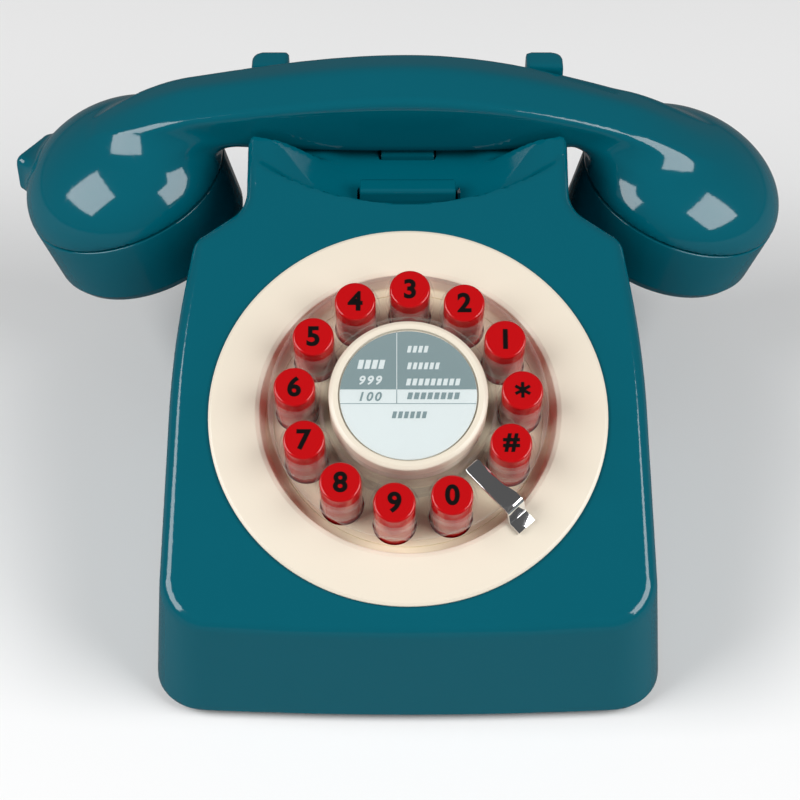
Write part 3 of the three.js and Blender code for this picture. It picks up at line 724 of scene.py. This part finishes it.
def boss_field(x, y, z):
    dx, dy = x - BOSS_PLACE[0], y - BOSS_PLACE[1]
    cos, sin = math.cos(BOSS_TURN), math.sin(BOSS_TURN)
    along = dx * cos + dy * sin
    across = np.abs(-dx * sin + dy * cos) - 8.4
    upright = np.abs(z - BOSS_PLACE[2]) - 6.8
    section = edge_max(across, upright, 3)
    outer = edge_max(section, slab(along, -6, 13), 1.2)
    hole = np.maximum(np.maximum(across + 2.1, upright + 2.1), -12 - along)
    return outer, hole


def handset_field(x, y, z):
    domes = np.minimum(dome_field(MOUTH_CUP, x, y, z, 0, 9), dome_field(EAR_CUP, x, y, z, 0, 9))
    boss, jack_hole = boss_field(x, y, z)
    outer = fillet_min(handle_field(x, y, z, 0, 94), domes, 12)
    outer = fillet_min(outer, boss, 3)
    inner = np.minimum(dome_field(MOUTH_CUP, x, y, z, WALL, 12), dome_field(EAR_CUP, x, y, z, WALL, 12))
    inner = np.minimum(inner, handle_field(x, y, z, WALL, 76))
    for cup in (MOUTH_CUP, EAR_CUP):
        out, _, down = in_cup(cup, x, y, z)
        near = np.maximum(np.abs(out) - 60, 38 - x * cup["side"])
        outer = np.where(near < 0, edge_max(outer, down, 0.9), outer)
    shell = np.maximum(outer, -inner)
    return edge_max(shell, -jack_hole, 0.5)


def cup_matrix(cup):
    """Places a piece drawn down out of a cup."""
    down = Vector((-cup["side"] * math.sin(CUP_TILT), 0, -math.cos(CUP_TILT)))
    across = Vector((0, 1, 0))
    out = across.cross(down)
    matrix = Matrix((out, across, down)).transposed().to_4x4()
    matrix.translation = Vector((cup["x"], HANDLE_Y, cup["z"]))
    return matrix


def add_cap(name, cup):
    depth = cup["depth"]
    outer = CUP_RADIUS
    mesh = turned(name, [
        (0, depth - WALL, 0), (outer - 5, depth - WALL, 1.5), (outer - WALL - 0.9, depth - 4.5, 0.5),
        (outer - WALL, 0.4, 0), (outer, 0.4, 0.5), (outer - 0.9, depth - 3, 1.5), (outer - 2.6, depth, 1.5),
        (outer - 8, depth, 0.5), (outer - 9.5, depth - 0.6, 0.5), (0, depth - 0.6, 0)])
    for count, circle in ((6, 8), (1, 0)):
        mesh = ring_cut(mesh, rod(1.5, depth - 6, depth + 2, 24), count, circle, 0, math.pi / 3, TEAL)
    mesh.transform(cup_matrix(cup))
    add_piece(name + "_moulding", mesh, "handset", "shell_teal", TEAL, name)


def add_handset():
    mesh = formula_mesh("handset_moulding", handset_field, (-126, 58, 55), (122, 132, 118), 1.0)
    add_piece("handset_moulding", mesh, "handset", "shell_teal", TEAL, "handset_shell")
    add_cap("mouthpiece_cap", MOUTH_CUP)
    add_cap("earpiece_cap", EAR_CUP)


def plunger_field(x, y, z):
    bar = edge_max(np.maximum(np.abs(x) - 14.5, slab(y, 65.4, 71.5)), slab(z, 79, 92), 0.9)
    bar = edge_max(bar, np.abs(x) - 14.5, 0.9)
    pad = edge_max(np.maximum(np.abs(x) - 8, slab(y, 86, 94)), slab(z, 79, 89.7), 0.8)
    carriage = np.maximum(np.maximum(np.abs(x) - 16, slab(y, 65.4, 94)), slab(z, 78, 80))
    return np.minimum(np.minimum(bar, pad), carriage)


def add_plunger():
    mesh = formula_mesh("hook_bar", plunger_field, (-18, 63, 76), (18, 96, 94), 0.6)
    add_piece("hook_bar", mesh, "plunger", "shell_teal", TEAL, "hook_plunger")


# ---------- dial ----------
def add_bezel():
    mesh = turned("dial_ring", [
        (9, WELL_FLOOR - 2, 0), (43, WELL_FLOOR - 2, 0), (43, -0.66, 0), (RING_RADIUS, -0.66, 0),
        (RING_RADIUS, -0.2, 0.2), (RING_RADIUS - 0.8, 0.25, 0.4), (43.2, 1.6, 0.8), (41.8, 1.1, 0.6),
        (40.6, WELL_FLOOR, 0.8), (38.3, WELL_FLOOR, 0), (38.15, WELL_FLOOR - 0.3, 0), (38.0, WELL_FLOOR, 0),
        (9, WELL_FLOOR, 0)], 160, closed=True)
    passage = rod(KEY_RADIUS + 0.5, -9, 0, 40)
    mesh = ring_cut(mesh, passage, KEY_COUNT, KEY_CIRCLE, FIRST_KEY_ANGLE, KEY_PITCH, CREAM)
    in_well = [face.index for face in mesh.polygons
               if face.center.z < WELL_FLOOR + 1.2 and math.hypot(face.center.x, face.center.y) < 41]
    mesh.transform(TO_DIAL)
    ring = add_piece("dial_ring", mesh, "base", "dial_cream", CREAM, "dial_bezel")
    ring.data.materials.append(WELL)
    for index in in_well:
        ring.data.polygons[index].material_index = 1


def add_wheel():
    plate = turned("wheel", [
        (22.7, WELL_FLOOR + 0.3, 0), (24, WELL_FLOOR + 0.3, 0), (24, 3.9, 0.3), (WHEEL_RADIUS - 0.2, 3.9, 0.5),
        (WHEEL_RADIUS, 6.9, 0.6), (WHEEL_RADIUS - 1.2, 7.7, 0.6), (25, 7.7, 0.6), (24.4, 11.5, 0.5),
        (22.7, 11.5, 0.3)], 144, closed=True)
    collar = rod(7, 1, 10.8, 40)
    mesh = ring_join(plate, collar, KEY_COUNT, KEY_CIRCLE, FIRST_KEY_ANGLE, KEY_PITCH, CLEAR)
    stud = turned("stud", [(0, 6, 0), (2.2, 6, 0), (2.2, 9.4, 0.7), (0, 9.6, 0)], 28)
    for angle in STUD_ANGLES:
        mesh = ring_join(mesh, stud.copy(), 1, STUD_CIRCLE, angle, 0, CLEAR)
    bore = rod(6.2, 0, 12, 40)
    mesh = ring_cut(mesh, bore, KEY_COUNT, KEY_CIRCLE, FIRST_KEY_ANGLE, KEY_PITCH, CLEAR)
    mesh.transform(TO_DIAL)
    add_piece("finger_plate", mesh, "base", "wheel_clear", CLEAR, "dial_wheel")


def key_place(index):
    angle = FIRST_KEY_ANGLE + index * KEY_PITCH
    return Matrix.Translation((KEY_CIRCLE * math.cos(angle), KEY_CIRCLE * math.sin(angle), 0))


def lettering(text, height, weight, slant=0.0, spacing=1.0):
    """Flat characters made exactly as tall as asked and centred on the origin."""
    curve = bpy.data.curves.new("lettering", "FONT")
    curve.body = text
    curve.align_x = "CENTER"
    curve.size = height / 0.73
    curve.shear = slant
    curve.space_character = spacing
    curve.offset = weight
    curve.extrude = 0.04
    curve.resolution_u = 6
    holder = bpy.data.objects.new("lettering", curve)
    bpy.context.scene.collection.objects.link(holder)
    bpy.context.view_layer.update()
    mesh = bpy.data.meshes.new_from_object(holder.evaluated_get(bpy.context.evaluated_depsgraph_get()))
    bpy.data.objects.remove(holder)
    solid = bmesh.new()
    solid.from_mesh(mesh)
    bmesh.ops.remove_doubles(solid, verts=solid.verts, dist=1e-4)
    bmesh.ops.recalc_face_normals(solid, faces=solid.faces)
    heights = [v.co.y for v in solid.verts]
    middle = (min(heights) + max(heights)) / 2
    widths = [v.co.x for v in solid.verts]
    centre = (min(widths) + max(widths)) / 2
    bmesh.ops.translate(solid, verts=solid.verts, vec=(-centre, -middle, 0))
    fit = height / (max(heights) - min(heights))
    bmesh.ops.scale(solid, verts=solid.verts, vec=(fit, fit, 1))
    solid.to_mesh(mesh)
    solid.free()
    return mesh


def star_mark(size, width):
    """Three crossing bars, each a hair thicker than the last so that their tops don't coincide."""
    bars = []
    for turn in (30, 90, 150):
        bar = prism("bar", [(-size / 2, -width / 2), (size / 2, -width / 2), (size / 2, width / 2),
                            (-size / 2, width / 2)], -0.04, 0.04 + turn / 5000)
        bar.transform(Matrix.Rotation(math.radians(turn), 4, "Z"))
        bars.append(bar)
    return merged("star", *bars)


def add_keys():
    flange = KEY_RADIUS + 1.1
    under = WELL_FLOOR - 2.3
    for index, (name, mark) in enumerate(KEY_MARKS.items()):
        cap = turned("key", [
            (0, -9.6, 0), (flange, -9.6, 0), (flange, under, 0), (KEY_RADIUS, under, 0),
            (KEY_RADIUS, KEY_TOP, 0.7), (KEY_RADIUS - 1.3, KEY_TOP, 0), (0, KEY_TOP - 0.15, 0)], 64)
        cap.transform(TO_DIAL @ key_place(index))
        add_piece(f"key_cap_{name}", cap, f"button_{name}", "key_red", KEY_RED, f"key_{name}")
        if mark == "*":
            print_mesh = star_mark(STAR_SIZE, STAR_BAR)
        else:
            print_mesh = lettering(mark, HASH_SIZE if mark == "#" else DIGIT_SIZE, MARK_WEIGHT)
        print_mesh.transform(TO_DIAL @ key_place(index) @ Matrix.Translation((0, 0, KEY_TOP - 0.02)))
        add_piece(f"key_mark_{name}", print_mesh, f"button_{name}", "key_red", INK)


def add_finger_stop():
    """A bent chrome strip: flat over the plate, stepped wider, turned down to the ring."""
    line = eased([(25.5, 8.9, 0), (42.2, 8.9, 0.9), (43.4, 2.4, 0.9), (47.6, 2.0, 0)], 6)
    line = [line[0], *[line[0].lerp(line[1], s) for s in (0.05, 0.55, 0.66, 0.78, 0.9)], *line[1:]]
    strip = bmesh.new()
    rings = []
    for index, point in enumerate(line):
        before = line[max(index - 1, 0)]
        after = line[min(index + 1, len(line) - 1)]
        along = (after - before).normalized()
        upright = Vector((-along.y, along.x))
        widen = float(smoothstep(np.array(point.x), 35, 40))
        left = 2.45
        right = left + 1.1 * widen
        near_end = 0.85 if index == 0 else 1
        ring = []
        for side, lift in ((-1, -0.6), (1, -0.6), (1, 0.6), (-1, 0.6)):
            width = (left if side < 0 else right) * near_end
            spot = point + upright * lift
            ring.append(strip.verts.new((spot.x, side * width, spot.y)))
        rings.append(ring)
    for lower, upper in zip(rings, rings[1:]):
        for k in range(4):
            strip.faces.new((lower[k], lower[(k + 1) % 4], upper[(k + 1) % 4], upper[k]))
    strip.faces.new(rings[0])
    strip.faces.new(rings[-1])
    bmesh.ops.recalc_face_normals(strip, faces=strip.faces)
    long_edges = [e for e in strip.edges if e.calc_face_angle(0) > 1.0]
    bmesh.ops.bevel(strip, geom=long_edges, offset=0.18, segments=2, affect="EDGES", profile=0.5)
    mesh = bpy.data.meshes.new("finger_stop")
    strip.to_mesh(mesh)
    strip.free()
    mesh.transform(TO_DIAL @ Matrix.Rotation(FINGER_STOP_ANGLE, 4, "Z"))
    add_piece("finger_stop_blade", mesh, "base", "stop_chrome", CHROME, "finger_stop", smooth=30)


def arc_points(radius, start, end, steps=48):
    """Points along an arc round the origin."""
    angles = [start + (end - start) * k / steps for k in range(steps + 1)]
    return [(radius * math.cos(angle), radius * math.sin(angle)) for angle in angles]


def cap_of_disc(radius, low):
    """Outline of the part of a disc above a height."""
    bottom = math.asin(low / radius)
    right = arc_points(radius, bottom, math.pi / 2)
    left = arc_points(radius, math.pi / 2, math.pi - bottom)
    return right[:-1] + left


def slanted_word(x, y, widths, height, slant=0.22, gap=0.55):
    """Short slanted bars in a row, one for each letter-like mark."""
    bars = []
    for width in widths:
        shift = slant * height
        outline = [(x, y), (x + width, y), (x + width + shift, y + height), (x + shift, y + height)]
        bars.append(prism("bar", outline, 0, 0.06))
        x += width + gap
    return bars


def add_redial():
    cap = turned("centre_cap", [
        (0, -2.6, 0), (8.6, -2.6, 0), (8.6, 6, 0), (22.1, 6, 0), (22.1, 13.7, 0.7), (20.9, 14.4, 0.5),
        (19.5, 14.2, 0.3), (19.4, 13, 0), (0, 13, 0)], 128)
    cap.transform(TO_DIAL)
    add_piece("centre_cap", cap, "redial", "dial_cream", CREAM, "redial_cap")
    card = turned("card", [(0, 13.3, 0), (19, 13.3, 0), (19, 13.6, 0), (0, 13.6, 0)], 96)
    card.transform(TO_DIAL)
    add_piece("centre_card", card, "redial", "label_paper", PAPER_WHITE, "redial_label")
    top = Matrix.Translation((0, 0, 13.58))
    field = prism("field", cap_of_disc(19, 1.6), 0, 0.05)
    field.transform(TO_DIAL @ top)
    add_piece("card_teal_field", field, "redial", "label_paper", PAPER_TEAL)
    dark_marks = merged(
        "dark_marks", prism("rule", [(-18.8, -2.7), (18.8, -2.7), (18.8, -2.5), (-18.8, -2.5)], 0, 0.06),
        prism("divider", [(-3.3, -2.6), (-3.1, -2.6), (-3.1, 1.6), (-3.3, 1.6)], 0, 0.06),
        *slanted_word(-0.4, -1.3, [1.3] * 8, 2.0),
        *slanted_word(-4.6, -6.9, [1.1] * 6, 2.0))
    dark_marks.transform(TO_DIAL @ top)
    add_piece("card_dark_print", dark_marks, "redial", "label_paper", PAPER_TEAL)
    light_marks = merged(
        "light_marks", prism("divider", [(-3.3, 1.6), (-3.1, 1.6), (-3.1, 18.5), (-3.3, 18.5)], 0, 0.08),
        *slanted_word(-14.2, 7.7, [1.4] * 4, 2.7), *slanted_word(-0.4, 12.6, [1.0] * 4, 2.0),
        *slanted_word(-0.4, 7.6, [1.0] * 6, 2.0), *slanted_word(-0.7, 2.8, [1.15] * 9, 2.0))
    light_marks.transform(TO_DIAL @ top)
    add_piece("card_light_print", light_marks, "redial", "label_paper", PAPER_WHITE)
    for number, y, surface, lift in (("999", 4.3, PAPER_WHITE, 0.06), ("100", -0.5, PAPER_TEAL, 0.03)):
        digits = lettering(number, 2.7, 0.1, slant=0.25, spacing=1.3)
        digits.transform(TO_DIAL @ Matrix.Translation((-10.4, y, 13.6 + lift)))
        add_piece(f"card_digits_{number}", digits, "redial", "label_paper", surface)
    lens = turned("lens", [(0, 13.9, 0), (19.1, 13.9, 0), (18.9, 14.5, 0.2), (9, 15.0, 0), (0, 15.15, 0)], 96)
    lens.transform(TO_DIAL)
    add_piece("centre_lens", lens, "redial", "wheel_clear", LENS, "redial_lens")


# ---------- underside and small hardware ----------
FOOT_SEATS = [(-57, -43, 0), (57, -43, 0), (-38, 106, 0), (38, 106, 0)]
BASE_SCREW_SEATS = [(-60, -12, 1.7), (60, -12, 1.7), (-38, 86, 1.7), (38, 86, 1.7)]


def slotted_screw(head, shaft, thickness, length):
    """A screw whose slotted head is at the bottom."""
    body = turned("screw", [
        (0, 0, 0), (head * 0.55, 0, 0), (head, 0.45, 0.2), (head, thickness, 0.1), (shaft, thickness, 0),
        (shaft, length - 1, 0), (shaft * 0.3, length, 0), (0, length, 0)], 28)
    slot = prism("slot", [(-head - 1, -0.4), (head + 1, -0.4), (head + 1, 0.4), (-head - 1, 0.4)], -1, 0.7)
    return ring_cut(body, slot, 1, 0, 0, 0, STEEL)


def add_hardware():
    foot = turned("foot", [(0, 0.1, 0), (4.8, 0.1, 0), (5.2, 0, 0), (7, 0, 0.6), (7, 2.3, 0.3), (2.5, 2.3, 0),
                           (2.5, 5.6, 0.4), (0, 5.6, 0)], 48)
    feet = on_seats(FOOT_SEATS, foot, 1, RUBBER)
    add_piece("feet", feet, "base", "foot_rubber", RUBBER, "foot_1", "foot_2", "foot_3", "foot_4")
    screws = on_seats(BASE_SCREW_SEATS, slotted_screw(3.2, 1.5, 1.6, 13), 2, STEEL)
    add_piece("base_screws", screws, "base", "screw_steel", STEEL,
              "base_screw_1", "base_screw_2", "base_screw_3", "base_screw_4")


def dress_frame_nodes():
    """Gives the CAD pieces that stay as they are their own finishes."""
    finishes = {
        "base_plate": DARK, "keypad_mat": RUBBER, "keypad_board": BOARD, "board_screw_1": STEEL,
        "board_screw_2": STEEL, "board_screw_3": STEEL, "microphone_capsule": CAN,
        "receiver_capsule": DARK, "handset_socket": DARK, "hook_switch": DARK, "switch_bracket": STEEL,
        "main_board": BOARD, "ballast_weight": IRON, "ringer_frame": STEEL, "ringer_coil": COPPER,
        "gong_post_left": STEEL, "gong_left": BRASS, "gong_post_right": STEEL, "gong_right": BRASS,
        "clapper": BRASS, "cord_socket": DARK, "line_socket": DARK, "volume_knob": CREAM,
        "tone_knob": CREAM}
    for node, surface in finishes.items():
        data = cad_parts[node].data
        data.materials.clear()
        data.materials.append(surface)


# ---------- studio ----------
def add_light(name, place, target, width, height, power):
    light = bpy.data.lights.new(name, "AREA")
    light.shape = "RECTANGLE"
    light.size = width
    light.size_y = height
    light.energy = power
    lamp = bpy.data.objects.new(name, light)
    bpy.context.scene.collection.objects.link(lamp)
    lamp.location = place
    lamp.rotation_euler = (Vector(target) - Vector(place)).to_track_quat("-Z", "Y").to_euler()


def floor_finish():
    """White paper that shows only dimly in glossy reflections."""
    surface = finish("floor_white", (0.93, 0.93, 0.93), 0.9, drift=0.0, gloss_drift=0.0)
    tree = surface.node_tree
    shader = tree.nodes["Principled BSDF"]
    rays = tree.nodes.new("ShaderNodeLightPath")
    dim = maths(tree, "SUBTRACT", 0.93, maths(tree, "MULTIPLY", rays.outputs["Is Glossy Ray"], 0.75))
    tree.links.new(dim, shader.inputs["Base Color"])
    return surface


def add_studio():
    floor = bpy.data.meshes.new("floor")
    floor.from_pydata([(-3, -3, 0), (3, -3, 0), (3, 3, 0), (-3, 3, 0)], [], [(0, 1, 2, 3)])
    stage = bpy.data.objects.new("floor", floor)
    bpy.context.scene.collection.objects.link(stage)
    stage.location.z = -0.0002
    floor.materials.append(floor_finish())
    add_light("key_left", (-0.93, -0.33, 0.88), (0, 0.03, 0.06), 0.9, 0.75, 13.5)
    add_light("key_right", (0.93, -0.42, 0.86), (0, 0.03, 0.06), 0.9, 0.75, 13.5)
    world = bpy.data.worlds.new("studio")
    world.use_nodes = True
    world.node_tree.nodes["Background"].inputs["Color"].default_value = (1, 1, 1, 1)
    world.node_tree.nodes["Background"].inputs["Strength"].default_value = 0.1
    bpy.context.scene.world = world
    bpy.context.scene.view_settings.view_transform = "Standard"
    camera = bpy.data.cameras.new("camera")
    camera.lens = 93.28
    camera.sensor_width = 36
    camera.clip_start = 0.01
    viewer = bpy.data.objects.new("camera", camera)
    bpy.context.scene.collection.objects.link(viewer)
    viewer.location = (0.0010, -0.4436, 0.4837)
    viewer.rotation_euler = (math.radians(44.73), 0, 0)
    bpy.context.scene.camera = viewer


add_case()
add_handset()
add_plunger()
add_bezel()
add_wheel()
add_keys()
add_finger_stop()
add_redial()
add_hardware()
dress_frame_nodes()
add_studio()
